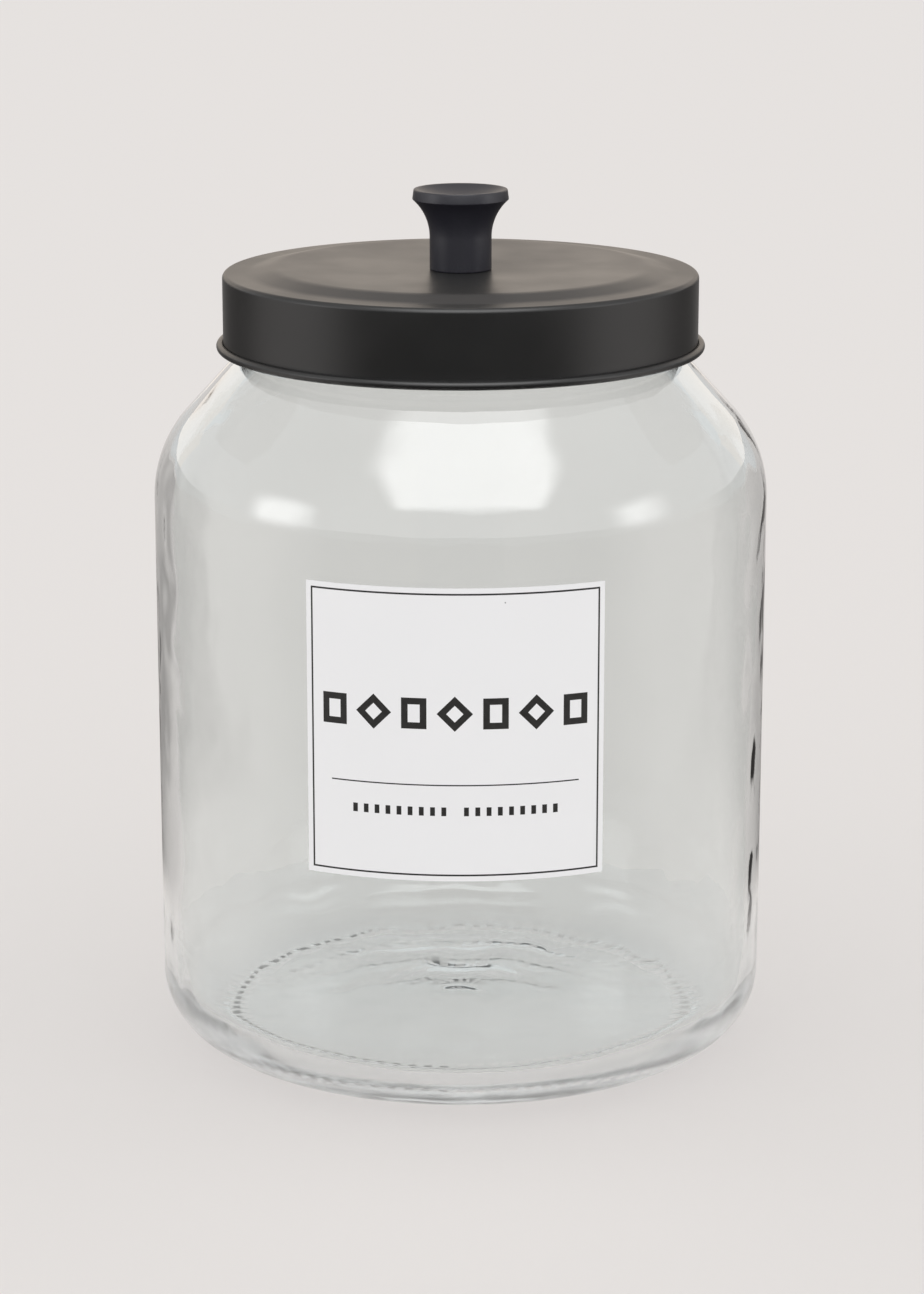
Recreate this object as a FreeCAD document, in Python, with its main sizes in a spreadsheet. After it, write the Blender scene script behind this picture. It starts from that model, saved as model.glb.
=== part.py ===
"""Wide glass storage jar with a lift-off pressed steel lid.

Millimetres, +Z up. The origin is on the jar's axis at the height of the ring that it stands on,
and the label faces -Y. Every size is in the sheet "Sizes", and the pieces are bound to it.
"""
import FreeCAD, Part
import Sketcher
import math
import os

os.makedirs("parts", exist_ok=True)
doc = FreeCAD.newDocument("storage_jar")
AXIS_UP = FreeCAD.Vector(0, 0, 1)
AXIS_BACK = FreeCAD.Vector(0, 1, 0)

# ---------------------------------------------------------------- driving dimensions
SIZES = {
    # glass body
    "body_dia": 180.0,
    "side_glass": 5.0,
    "heel_slope": 22.0,
    "heel_radius": 19.0,
    "heel_radius_inside": 14.0,
    "stand_ring_inset": 19.5,
    "stand_ring_width": 6.0,
    "stand_ring_round": 0.8,
    "push_up": 4.5,
    "base_glass": 7.0,
    "floor_fall": 2.5,
    # shoulder and neck
    "shoulder_corner": 179.5,
    "shoulder_slope": 47.5,
    "shoulder_radius": 36.0,
    "shoulder_glass": 5.0,
    "neck_dia": 129.0,
    "neck_glass": 5.0,
    "neck_round": 4.0,
    "neck_height": 19.7,
    "rim_round": 2.2,
    # grip marks moulded across the outer half of the standing ring
    "grip_marks": 90,
    "grip_mark_radius": 1.1,
    "grip_mark_depth": 0.5,
    "grip_mark_reach": 3.3,
    # label
    "label_width": 85.0,
    "label_height": 83.5,
    "label_below_shoulder": 8.0,
    "label_thickness": 0.15,
    "label_turn": -1.0,
    # seal ring between neck and lid
    "neck_clearance": 0.3,
    "rim_clearance": 0.3,
    "shell_clearance": 0.3,
    "seal_web": 1.8,
    "seal_fin_reach": 1.8,
    "seal_fin_thickness": 1.0,
    "seal_fins": 3,
    "seal_flange": 2.5,
    "seal_flange_inset": 1.0,
    "seal_depth": 13.0,
    # pressed lid
    "sheet": 0.5,
    "skirt_depth": 22.4,
    "lid_corner": 1.4,
    "curl_inner_radius": 0.75,
    "annulus_width": 7.6,
    "step_width": 7.2,
    "panel_rise": 1.8,
    "panel_dish": 1.2,
    "step_round": 12.0,
    "knob_seat_dia": 24.0,
    "curl_opening": 25.0,
    # knob
    "knob_height": 23.3,
    "knob_rim_dia": 27.2,
    "knob_band_dia": 28.0,
    "knob_band_height": 2.9,
    "knob_stem_dia": 18.0,
    "knob_flare_radius": 14.5,
    "knob_land": 0.9,
    "knob_dish_depth": 2.6,
    "knob_edge_round": 0.35,
    # fastening
    "screw_dia": 4.0,
    "screw_length": 12.0,
    "screw_head_dia": 8.0,
    "screw_head_height": 2.4,
    "screw_head_round": 1.2,
    "recess_span": 4.4,
    "recess_slot": 1.0,
    "recess_depth": 1.6,
    "thread_clearance": 0.05,
    "tap_run_out": 2.0,
    "shank_clearance": 0.2,
    "washer_dia": 12.0,
    "washer_thickness": 0.8,
}

table = doc.addObject("Spreadsheet::Sheet", "Sizes")
for row, (alias, number) in enumerate(SIZES.items(), start=1):
    table.set(f"A{row}", alias)
    table.set(f"B{row}", str(number))
    table.setAlias(f"B{row}", alias)
doc.recompute()


def size(alias):
    """The sheet's cell of that name, as an expression."""
    return f"Sizes.{alias}"


def value(expression):
    """What an expression over the sheet comes to now."""
    result = table.evalExpression(expression)
    return float(getattr(result, "Value", result))


# ---------------------------------------------------------------- sizes worked out from them
body_r = f"({size('body_dia')} / 2)"
inside_r = f"({body_r} - {size('side_glass')})"
neck_r = f"({size('neck_dia')} / 2)"
mouth_r = f"({neck_r} - {size('neck_glass')})"
stand_outer = f"({body_r} - {size('stand_ring_inset')})"
stand_inner = f"({stand_outer} - {size('stand_ring_width')})"
heel_corner = f"({size('stand_ring_inset')} * tan({size('heel_slope')}))"
heel_length = f"({size('stand_ring_inset')} / cos({size('heel_slope')}))"
heel_round = f"min({size('heel_radius')}; 0.9 * {heel_length} / tan(45 - {size('heel_slope')} / 2))"
floor_centre = f"({size('push_up')} + {size('base_glass')})"
floor_edge = f"({floor_centre} - {size('floor_fall')})"
shoulder_drop = f"({size('shoulder_glass')} / cos({size('shoulder_slope')}))"
shoulder_bend = f"tan(45 - {size('shoulder_slope')} / 2)"
shoulder_length = f"(({body_r} - {neck_r}) / cos({size('shoulder_slope')}))"
shoulder_room = f"(0.95 * {shoulder_length} / {shoulder_bend} - {size('neck_round')})"
shoulder_round = f"min({size('shoulder_radius')}; {shoulder_room})"
neck_base = f"({size('shoulder_corner')} + ({body_r} - {neck_r}) * tan({size('shoulder_slope')}))"
rim_height = f"({neck_base} + {size('neck_height')})"
rim_round = f"min({size('rim_round')}; 0.48 * {size('neck_glass')})"
inner_corner = (
    f"({size('shoulder_corner')} + {size('side_glass')} * tan({size('shoulder_slope')}) - {shoulder_drop})"
)
inner_neck_base = (
    f"({size('shoulder_corner')} + ({body_r} - {mouth_r}) * tan({size('shoulder_slope')}) - {shoulder_drop})"
)
seal_inner = f"({neck_r} + {size('neck_clearance')})"
seal_web_inner = f"({seal_inner} + {size('seal_fin_reach')})"
seal_outer = f"({seal_web_inner} + {size('seal_web')})"
seal_under = f"({rim_height} + {size('rim_clearance')})"
seal_top = f"({seal_under} + {size('seal_flange')})"
skirt_inner = f"({seal_outer} + {size('shell_clearance')})"
skirt_outer = f"({skirt_inner} + {size('sheet')})"
lid_under = f"({seal_top} + {size('shell_clearance')})"
lid_top = f"({lid_under} + {size('sheet')})"
inner_bend = f"({size('lid_corner')} - {size('sheet')})"
panel_top = f"({lid_top} + {size('panel_rise')})"
panel_under = f"({panel_top} - {size('sheet')})"
seat_top = f"({panel_top} - {size('panel_dish')})"
seat_under = f"({seat_top} - {size('sheet')})"
seat_r = f"({size('knob_seat_dia')} / 2)"
step_outer = f"({skirt_outer} - {size('annulus_width')})"
step_inner = f"({step_outer} - {size('step_width')})"
curl_outer = f"({size('curl_inner_radius')} + {size('sheet')})"
curl_x = f"({skirt_outer} + {size('curl_inner_radius')})"
curl_z = f"({lid_top} - {size('skirt_depth')} + {curl_outer})"
screw_r = f"({size('screw_dia')} / 2)"
head_top = f"({seat_under} - {size('washer_thickness')})"
hole_r = f"({screw_r} + {size('shank_clearance')})"
knob_top = f"({seat_top} + {size('knob_height')})"


# ---------------------------------------------------------------- helpers
def new_body(name):
    body = doc.addObject("PartDesign::Body", name)
    body.Label = name
    return body


def new_sketch(body, name):
    """A sketch on the body's own XZ plane: across is +X and up is +Z."""
    sketch = body.newObject("Sketcher::SketchObject", name)
    front = next(item for item in body.Origin.OriginFeatures if item.Role == "XZ_Plane")
    sketch.AttachmentSupport = [(front, "")]
    sketch.MapMode = "FlatFace"
    return sketch


def arc_through(start, end, radius, clockwise):
    """The short arc of that radius from start to end."""
    middle = (start + end) * 0.5
    along = (end - start).normalize()
    left = FreeCAD.Vector(-along.y, along.x, 0)
    offset = math.sqrt(max(radius**2 - start.distanceToPoint(middle) ** 2, 0.0))
    centre = middle + left * (-offset if clockwise else offset)
    first, last = (end, start) if clockwise else (start, end)
    angles = [math.atan2(point.y - centre.y, point.x - centre.x) for point in (first, last)]
    return Part.ArcOfCircle(Part.Circle(centre, AXIS_UP, radius), *angles)


def pin_point(sketch, edge, end, across, up):
    """Holds one end of an edge at two expressions, measured from the sketch's origin."""
    for kind, expression, axis in (("DistanceX", across, -2), ("DistanceY", up, -1)):
        if expression == "0":
            sketch.addConstraint(Sketcher.Constraint("PointOnObject", edge, end, axis))
            continue
        constraint = Sketcher.Constraint(kind, -1, 1, edge, end, value(expression))
        place = sketch.addConstraint(constraint)
        sketch.setExpression(f"Constraints[{place}]", expression)


def outline(sketch, corners):
    """A closed outline through corners, each (across, up) as expressions.

    A corner may add a radius and "left" or "right": the edge that leaves it is then an arc
    with its centre on that side.
    """
    points = [FreeCAD.Vector(value(corner[0]), value(corner[1]), 0) for corner in corners]
    ends = []
    for place, corner in enumerate(corners):
        start, end = points[place], points[(place + 1) % len(points)]
        if len(corner) == 2:
            sketch.addGeometry(Part.LineSegment(start, end), False)
            ends.append((1, 2))
            continue
        clockwise = corner[3] == "right"
        sketch.addGeometry(arc_through(start, end, value(corner[2]), clockwise), False)
        ends.append((2, 1) if clockwise else (1, 2))
    for place, corner in enumerate(corners):
        after = (place + 1) % len(corners)
        sketch.addConstraint(
            Sketcher.Constraint("Coincident", place, ends[place][1], after, ends[after][0])
        )
        pin_point(sketch, place, ends[place][0], corner[0], corner[1])
        if len(corner) > 2:
            radius = Sketcher.Constraint("Radius", place, value(corner[2]))
            sketch.setExpression(f"Constraints[{sketch.addConstraint(radius)}]", corner[2])


def turned(name, corners):
    """A body turned round Z from a half section."""
    body = new_body(name)
    sketch = new_sketch(body, name + "_section")
    outline(sketch, corners)
    turn = body.newObject("PartDesign::Revolution", name + "_turned")
    turn.Profile = sketch
    turn.ReferenceAxis = (sketch, ["V_Axis"])
    turn.Angle = 360
    sketch.Visibility = False
    doc.recompute()
    return body


def ring_edges(shape, rings, tolerance=0.02):
    """Names of the full circles in a shape that lie at the given (radius, height)."""
    names = []
    for radius, height in rings:
        for place, edge in enumerate(shape.Edges, start=1):
            if edge.Degenerated or not isinstance(edge.Curve, Part.Circle):
                continue
            same_size = abs(edge.Curve.Radius - value(radius)) < tolerance
            same_place = abs(edge.Curve.Center.z - value(height)) < tolerance
            if same_size and same_place:
                names.append(f"Edge{place}")
    return names


def round_rings(body, name, rings, radius):
    """Rounds the circles of the body's last feature that lie at (radius, height)."""
    before = body.Tip
    names = ring_edges(before.Shape, rings)
    if len(names) != len(rings):
        raise RuntimeError(f"{name}: {len(names)} of {len(rings)} circles were found")
    feature = body.newObject("PartDesign::Fillet", name)
    feature.Base = (before, names)
    feature.Radius = value(radius)
    feature.setExpression("Radius", radius)
    body.Tip = feature
    doc.recompute()


def primitive(body, kind, name, sizes, place, turn=None):
    """A primitive of the body, with its sizes and place bound to expressions."""
    feature = body.newObject(kind, name)
    if turn:
        axis, angle = turn
        feature.Placement = FreeCAD.Placement(FreeCAD.Vector(), FreeCAD.Rotation(axis, value(angle)))
        feature.setExpression("Placement.Rotation.Angle", angle)
    for axis, expression in zip("xyz", place):
        feature.setExpression(f"Placement.Base.{axis}", expression)
    for key, expression in sizes.items():
        feature.setExpression(key, expression)
    body.Tip = feature
    return feature


# ---------------------------------------------------------------- glass jar
def make_glass_jar():
    """One moulded piece: push-up base, heel, straight side, sloped shoulder, plain neck."""
    body = turned(
        "glass_jar",
        [
            ("0", size("push_up")),
            (stand_inner, "0"),
            (stand_outer, "0"),
            (body_r, heel_corner),
            (body_r, size("shoulder_corner")),
            (neck_r, neck_base),
            (neck_r, rim_height),
            (mouth_r, rim_height),
            (mouth_r, inner_neck_base),
            (inside_r, inner_corner),
            (inside_r, floor_edge),
            ("0", floor_centre),
        ],
    )
    round_rings(body, "heel", [(body_r, heel_corner)], heel_round)
    round_rings(body, "inner_heel", [(inside_r, floor_edge)], size("heel_radius_inside"))
    round_rings(body, "shoulder", [(body_r, size("shoulder_corner"))], shoulder_round)
    inner_shoulder = f"({shoulder_round} - {size('shoulder_glass')})"
    round_rings(body, "inner_shoulder", [(inside_r, inner_corner)], inner_shoulder)
    neck_corners = [(neck_r, neck_base), (mouth_r, inner_neck_base)]
    round_rings(body, "neck_corners", neck_corners, size("neck_round"))
    round_rings(body, "rim", [(neck_r, rim_height), (mouth_r, rim_height)], rim_round)
    stand_corners = [(stand_inner, "0"), (stand_outer, "0")]
    round_rings(body, "stand_ring", stand_corners, size("stand_ring_round"))
    cut_grip_marks(body)
    return body


def cut_grip_marks(body):
    """Shallow radial grooves from the middle of the standing ring out through its edge."""
    groove = primitive(
        body,
        "PartDesign::SubtractiveCylinder",
        "grip_mark",
        {"Radius": size("grip_mark_radius"), "Height": f"2 * {size('grip_mark_reach')}"},
        (
            f"{stand_outer} - {size('grip_mark_reach')}",
            "0",
            f"{size('grip_mark_depth')} - {size('grip_mark_radius')}",
        ),
        (AXIS_BACK, "90"),
    )
    doc.recompute()
    ring = body.newObject("PartDesign::PolarPattern", "grip_mark_ring")
    ring.Originals = [groove]
    ring.Axis = (body.getObject("glass_jar_section"), ["V_Axis"])
    ring.Angle = 360
    ring.setExpression("Occurrences", size("grip_marks"))
    body.Tip = ring
    doc.recompute()


# ---------------------------------------------------------------- label
def make_label_sheet():
    """A printed vinyl rectangle that wraps the front of the glass."""
    span = f"({size('label_width')} / {body_r} * 180 / pi)"
    side_top = f"({size('shoulder_corner')} - {shoulder_round} * {shoulder_bend})"
    bottom = f"({side_top} - {size('label_below_shoulder')} - {size('label_height')})"
    outer = doc.addObject("Part::Cylinder", "label_outside")
    inner = doc.addObject("Part::Cylinder", "label_glass_face")
    outer.setExpression("Radius", f"{body_r} + {size('label_thickness')}")
    inner.setExpression("Radius", body_r)
    outer.setExpression("Angle", span)
    inner.setExpression("Angle", "360")
    for cylinder in (outer, inner):
        cylinder.setExpression("Height", size("label_height"))
        cylinder.setExpression("Placement.Base.z", bottom)
    left_edge = f"{size('label_turn')} - 90 - {span} / 2"
    outer.Placement.Rotation = FreeCAD.Rotation(AXIS_UP, value(left_edge))
    outer.setExpression("Placement.Rotation.Angle", left_edge)
    label = doc.addObject("Part::Cut", "label_sheet")
    label.Base = outer
    label.Tool = inner
    doc.recompute()
    return label


# ---------------------------------------------------------------- lid
def make_lid_seal_ring():
    """A flexible ring inside the lid: a flange over the glass rim and fins round the neck."""
    flange_inner = f"({mouth_r} + {size('seal_flange_inset')})"
    bottom = f"({seal_under} - {size('seal_depth')})"
    corners = [(flange_inner, seal_top), (flange_inner, seal_under), (seal_web_inner, seal_under)]
    for fin in range(int(value(size("seal_fins")))):
        drop = f"{size('seal_depth')} * {fin + 1} / ({size('seal_fins')} + 0.25)"
        root = f"({seal_under} - {drop} + {size('seal_fin_thickness')})"
        half = f"{size('seal_fin_thickness')} / 2"
        corners += [
            (seal_web_inner, root),
            (seal_inner, f"{root} - {half}"),
            (seal_inner, f"{root} - 2 * {half}"),
            (seal_web_inner, f"{root} - 3 * {half}"),
        ]
    corners += [(seal_web_inner, bottom), (seal_outer, bottom), (seal_outer, seal_top)]
    body = turned("lid_seal_ring", corners)
    round_rings(body, "seal_corner", [(seal_outer, seal_top)], inner_bend)
    return body


def make_lid_shell():
    """Pressed steel: raised and faintly dished panel, flat border, skirt, edge curled outwards."""
    small = size("curl_inner_radius")
    low, high = f"({curl_z} - {small})", f"({curl_z} + {small})"
    wide_low, wide_high = f"({curl_z} - {curl_outer})", f"({curl_z} + {curl_outer})"
    sideways, upwards = f"sin({size('curl_opening')})", f"cos({size('curl_opening')})"
    end_in = (f"{curl_x} - {small} * {sideways}", f"{curl_z} + {small} * {upwards}")
    end_out = (f"{curl_x} - {curl_outer} * {sideways}", f"{curl_z} + {curl_outer} * {upwards}")
    body = turned(
        "lid_shell",
        [
            (hole_r, seat_under),
            (hole_r, seat_top),
            (seat_r, seat_top),
            (step_inner, panel_top),
            (step_outer, lid_top),
            (skirt_outer, lid_top),
            (skirt_outer, curl_z, small, "left"),
            (curl_x, low, small, "left"),
            (f"({curl_x} + {small})", curl_z, small, "left"),
            (curl_x, high, small, "left"),
            end_in,
            (*end_out, curl_outer, "right"),
            (curl_x, wide_high, curl_outer, "right"),
            (f"({curl_x} + {curl_outer})", curl_z, curl_outer, "right"),
            (curl_x, wide_low, curl_outer, "right"),
            (skirt_inner, curl_z),
            (skirt_inner, lid_under),
            (step_outer, lid_under),
            (step_inner, panel_under),
            (seat_r, seat_under),
        ],
    )
    step = [(step_inner, panel_top), (step_outer, lid_top)]
    step_below = [(step_inner, panel_under), (step_outer, lid_under)]
    round_rings(body, "panel_step", step + step_below, size("step_round"))
    round_rings(body, "lid_corner", [(skirt_outer, lid_top)], size("lid_corner"))
    round_rings(body, "lid_corner_inside", [(skirt_inner, lid_under)], inner_bend)
    return body


# ---------------------------------------------------------------- knob and its fastening
def make_knob():
    """Turned knob: dished top with a narrow band, hollow flare, straight stem, tapped below."""
    stem_r = f"({size('knob_stem_dia')} / 2)"
    band_r = f"({size('knob_band_dia')} / 2)"
    rim_r = f"({size('knob_rim_dia')} / 2)"
    dish_r = f"({rim_r} - {size('knob_land')})"
    depth = size("knob_dish_depth")
    dish_radius = f"(({dish_r} ^ 2 + {depth} ^ 2) / (2 * {depth}))"
    reach = f"({band_r} - {stem_r})"
    flare = size("knob_flare_radius")
    band_foot = f"({knob_top} - {size('knob_band_height')})"
    flare_foot = f"({band_foot} - sqrt(2 * {flare} * {reach} - {reach} ^ 2))"
    tap_r = f"({screw_r} + {size('thread_clearance')})"
    tap_end = f"({head_top} + {size('screw_length')} + {size('tap_run_out')})"
    body = turned(
        "knob",
        [
            (tap_r, seat_top),
            (stem_r, seat_top),
            (stem_r, flare_foot, flare, "right"),
            (band_r, band_foot),
            (rim_r, knob_top),
            (dish_r, knob_top, dish_radius, "right"),
            ("0", f"({knob_top} - {depth})"),
            ("0", tap_end),
            (tap_r, tap_end),
        ],
    )
    edges = [(band_r, band_foot), (rim_r, knob_top), (dish_r, knob_top), (stem_r, seat_top)]
    round_rings(body, "knob_edges", edges, size("knob_edge_round"))
    return body


def make_knob_washer():
    outer = f"({size('washer_dia')} / 2)"
    corners = [(hole_r, head_top), (outer, head_top), (outer, seat_under), (hole_r, seat_under)]
    return turned("knob_washer", corners)


def make_knob_screw():
    """Pan head screw from below, with a cross recess."""
    head_r = f"({size('screw_head_dia')} / 2)"
    foot = f"({head_top} - {size('screw_head_height')})"
    tip = f"({head_top} + {size('screw_length')})"
    body = turned(
        "knob_screw",
        [("0", foot), (head_r, foot), (head_r, head_top), (screw_r, head_top), (screw_r, tip), ("0", tip)],
    )
    round_rings(body, "screw_head_edge", [(head_r, foot)], size("screw_head_round"))
    span, slot = size("recess_span"), size("recess_slot")
    for name, along, across in (("recess_along", span, slot), ("recess_across", slot, span)):
        primitive(
            body,
            "PartDesign::SubtractiveBox",
            name,
            {"Length": along, "Width": across, "Height": size("recess_depth")},
            (f"-{along} / 2", f"-{across} / 2", foot),
        )
        doc.recompute()
    return body


# ---------------------------------------------------------------- build, check, write
PIECES = [
    make_glass_jar(),
    make_label_sheet(),
    make_lid_seal_ring(),
    make_lid_shell(),
    make_knob(),
    make_knob_washer(),
    make_knob_screw(),
]
doc.recompute()

failed = [item.Label for item in doc.Objects if {"Invalid", "Error"} & set(item.State)]
if failed:
    raise RuntimeError("failed objects: " + ", ".join(failed))
for piece in PIECES:
    if piece.Shape.isNull() or not piece.Shape.isValid() or not piece.Shape.Solids:
        raise RuntimeError("bad shape: " + piece.Label)
for piece in PIECES:
    piece.Shape.exportStep(f"parts/{piece.Label}.step")
    box = piece.Shape.BoundBox
    print(f"{piece.Label}: {len(piece.Shape.Solids)} solid, z {box.ZMin:.2f} to {box.ZMax:.2f}")
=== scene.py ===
"""Finish of a wide glass storage jar: its glass, label, lid, seal, knob and fixings, and a plain stage.

Outlines are in millimetres from the jar's axis and the surface it stands on. Meshes are in metres.
"""

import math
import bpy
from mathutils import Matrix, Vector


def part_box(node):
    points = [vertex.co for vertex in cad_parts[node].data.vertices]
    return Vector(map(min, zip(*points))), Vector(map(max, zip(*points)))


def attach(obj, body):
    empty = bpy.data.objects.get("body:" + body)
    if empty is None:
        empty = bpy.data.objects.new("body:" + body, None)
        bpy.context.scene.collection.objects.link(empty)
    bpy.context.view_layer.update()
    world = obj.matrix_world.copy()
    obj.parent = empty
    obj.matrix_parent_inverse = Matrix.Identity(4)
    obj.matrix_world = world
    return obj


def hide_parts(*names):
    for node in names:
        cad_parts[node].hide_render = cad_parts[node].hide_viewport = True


bl_info = {
    "name": "Storage Jar",
    "version": (1, 0, 0),
    "blender": (4, 5, 0),
    "location": "3D View > Sidebar > Storage Jar",
    "description": "Models the glass, label, lid and knob of a wide storage jar, with their finishes",
    "category": "Object",
}

import bpy
from bpy.props import FloatProperty, FloatVectorProperty, IntProperty, PointerProperty
from mathutils import Vector

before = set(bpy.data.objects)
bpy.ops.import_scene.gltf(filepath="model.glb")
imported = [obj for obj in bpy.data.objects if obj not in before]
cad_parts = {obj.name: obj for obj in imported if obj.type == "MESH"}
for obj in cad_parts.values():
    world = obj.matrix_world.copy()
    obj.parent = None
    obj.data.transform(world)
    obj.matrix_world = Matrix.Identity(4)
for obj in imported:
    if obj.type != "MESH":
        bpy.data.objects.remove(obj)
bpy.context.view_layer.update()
MM = 0.001


def top_of(node):
    """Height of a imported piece's highest point, in millimetres."""
    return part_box(node)[1].z / MM


def foot_of(node):
    """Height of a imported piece's lowest point, in millimetres."""
    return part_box(node)[0].z / MM


RIM_HEIGHT = top_of("glass_jar")
LID_SEAT = foot_of("knob")
LID_FOOT = foot_of("lid_shell")
KNOB_TOP = top_of("knob")
LABEL_TOP = top_of("label_sheet")
LABEL_FOOT = foot_of("label_sheet")


def millimetres(name, default, description):
    """A length in millimetres, which the panel shows as a plain number."""
    return FloatProperty(name=name, default=default, description=description + " (mm)", min=0.0, precision=2)


def colour(name, default, description):
    """A colour that the panel shows as a swatch."""
    return FloatVectorProperty(
        name=name, default=default, description=description, subtype="COLOR", size=3, min=0.0, max=1.0
    )


# ------------------------------------------------------------------ sizes and colours
class GlassSizes(bpy.types.PropertyGroup):
    body_radius: millimetres("Body radius", 90.0, "Outside of the straight side")
    wall: millimetres("Wall", 5.0, "Thickness of the side and the neck")
    neck_radius: millimetres("Neck radius", 64.5, "Outside of the neck")
    shoulder_height: millimetres("Shoulder", 179.5, "Where the side and the slope of the shoulder would meet")
    shoulder_slope: FloatProperty(
        name="Shoulder slope",
        default=math.radians(47.5),
        subtype="ANGLE",
        description="Slope of the shoulder above the horizontal",
    )
    heel_slope: FloatProperty(
        name="Heel slope",
        default=math.radians(22.0),
        subtype="ANGLE",
        description="Slope of the underside outside the standing ring",
    )
    ring_outer: millimetres("Standing ring, outer", 70.5, "Outer radius of the ring that it stands on")
    ring_inner: millimetres("Standing ring, inner", 64.5, "Inner radius of the ring that it stands on")
    push_up: millimetres("Push-up", 4.5, "Rise of the middle of the underside")
    floor_centre: millimetres("Floor centre", 11.5, "Height of the inside floor at the axis")
    floor_edge: millimetres("Floor edge", 9.0, "Height of the inside floor at the wall")
    ripple_height: millimetres("Ripple", 0.05, "Height of the moulding ripples at the middle of the base")
    grip_marks: IntProperty(name="Grip marks", default=90, description="Grooves across the standing ring")
    grip_depth: millimetres("Grip mark depth", 0.24, "Depth of the grooves across the standing ring")
    inner_wave: millimetres("Inner wave", 0.5, "How unevenly the glass is blown on its inside")


class LabelSizes(bpy.types.PropertyGroup):
    width: millimetres("Width", 85.0, "Width along the glass")
    thickness: millimetres("Thickness", 0.15, "Thickness of the vinyl")
    ink: millimetres("Ink", 0.012, "Thickness of the printed ink")
    margin: millimetres("Margin", 1.5, "White margin outside the border line")
    border: millimetres("Border", 0.5, "Width of the border line")
    mark_height: millimetres("Mark height", 8.8, "Height of the row of bold marks")
    mark_stroke: millimetres("Mark stroke", 1.85, "Line width of the bold marks")
    rule_width: millimetres("Rule", 70.0, "Length of the thin rule")
    turn: FloatProperty(
        name="Turn", default=math.radians(-1.0), subtype="ANGLE", description="How far round the label sits"
    )


class LidSizes(bpy.types.PropertyGroup):
    radius: millimetres("Radius", 69.2, "Outside of the skirt")
    sheet: millimetres("Sheet", 0.5, "Thickness of the pressed sheet")
    border: millimetres("Border", 7.6, "Flat border outside the raised panel")
    step: millimetres("Step", 7.2, "Width of the soft step up to the panel")
    rise: millimetres("Rise", 1.8, "Height of the panel over the border")
    dish: millimetres("Dish", 1.2, "Fall of the panel from its edge to the knob")
    seat_radius: millimetres("Seat radius", 12.0, "Flat under the knob")
    step_round: millimetres("Step round", 12.0, "Radius at the top and the foot of the step")
    corner: millimetres("Corner", 1.4, "Radius between the border and the skirt")
    curl: millimetres("Curl", 0.75, "Inner radius of the rolled edge")
    dent: millimetres("Dents", 0.35, "Depth of the soft waves in the pressed panel")


class KnobSizes(bpy.types.PropertyGroup):
    rim_radius: millimetres("Rim radius", 13.6, "Radius at the very top")
    band_radius: millimetres("Band radius", 14.0, "Radius at the foot of the narrow band")
    band_height: millimetres("Band height", 2.9, "Height of the narrow band")
    stem_radius: millimetres("Stem radius", 9.0, "Radius of the straight stem")
    flare_radius: millimetres("Flare radius", 14.5, "Radius of the hollow flare")
    land: millimetres("Land", 0.9, "Flat rim round the dish")
    dish_depth: millimetres("Dish depth", 2.6, "Depth of the dished top")


class Finishes(bpy.types.PropertyGroup):
    glass: colour("Glass", (0.893, 0.915, 0.912), "Tint that each glass surface gives")
    lid_paint: colour("Lid paint", (0.0085, 0.0081, 0.0080), "Satin black paint")
    knob_paint: colour("Knob paint", (0.0145, 0.0138, 0.0215), "Blue-black matt paint")
    vinyl: colour("Vinyl", (0.86, 0.86, 0.87), "White label")
    ink: colour("Ink", (0.019, 0.018, 0.017), "Printed ink")
    seal: colour("Seal", (0.62, 0.62, 0.59), "Milky silicone")
    zinc: colour("Zinc", (0.62, 0.63, 0.65), "Zinc plate")
    floor: colour("Floor", (0.79, 0.752, 0.73), "Pale floor")


# ------------------------------------------------------------------ outlines
def arc(centre, radius, start, end, step=6.0):
    """Points along an arc, its angles in degrees."""
    count = max(2, math.ceil(abs(end - start) / step))
    angles = [math.radians(start + (end - start) * place / count) for place in range(count + 1)]
    return [(centre[0] + radius * math.cos(a), centre[1] + radius * math.sin(a)) for a in angles]


def rounded(corners, step=6.0, run=None):
    """A closed outline through (radius, height, round) corners, its long runs cut to about run."""
    outline = []
    count = len(corners)
    for place in range(count):
        here = Vector(corners[place][:2])
        before = (Vector(corners[place - 1][:2]) - here).normalized()
        after = (Vector(corners[(place + 1) % count][:2]) - here).normalized()
        size = corners[place][2] if len(corners[place]) > 2 else 0.0
        opening = before.angle(after)
        if size == 0.0 or opening > math.radians(179.5):
            outline.append(tuple(here))
            continue
        centre = here + (before + after).normalized() * (size / math.sin(opening / 2))
        reach = size / math.tan(opening / 2)
        first, last = here + before * reach - centre, here + after * reach - centre
        turn = first.angle_signed(last)
        steps = max(2, math.ceil(math.degrees(abs(turn)) / step))
        for k in range(steps + 1):
            angle = math.atan2(first.y, first.x) - turn * k / steps
            outline.append((centre.x + size * math.cos(angle), centre.y + size * math.sin(angle)))
    if run is None:
        return outline
    divided = []
    for place, point in enumerate(outline):
        start, end = Vector(point), Vector(outline[(place + 1) % len(outline)])
        pieces = max(1, round((end - start).length / run))
        divided += [tuple(start.lerp(end, k / pieces)) for k in range(pieces)]
    return divided


# ------------------------------------------------------------------ modelling
def clear_selection():
    """Goes back to object mode and deselects everything."""
    if bpy.context.object and bpy.context.object.mode != "OBJECT":
        bpy.ops.object.mode_set(mode="OBJECT")
    bpy.ops.object.select_all(action="DESELECT")


def select_only(piece):
    """Makes a piece the only one selected, and the active one."""
    clear_selection()
    piece.select_set(True)
    bpy.context.view_layer.objects.active = piece


def edit_all():
    """Goes into edit mode with everything selected."""
    bpy.ops.object.mode_set(mode="EDIT")
    bpy.ops.mesh.select_all(action="SELECT")


def face_outwards():
    """Turns every face outwards and goes back to object mode."""
    bpy.ops.mesh.select_all(action="SELECT")
    bpy.ops.mesh.normals_make_consistent(inside=False)
    bpy.ops.object.mode_set(mode="OBJECT")


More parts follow.
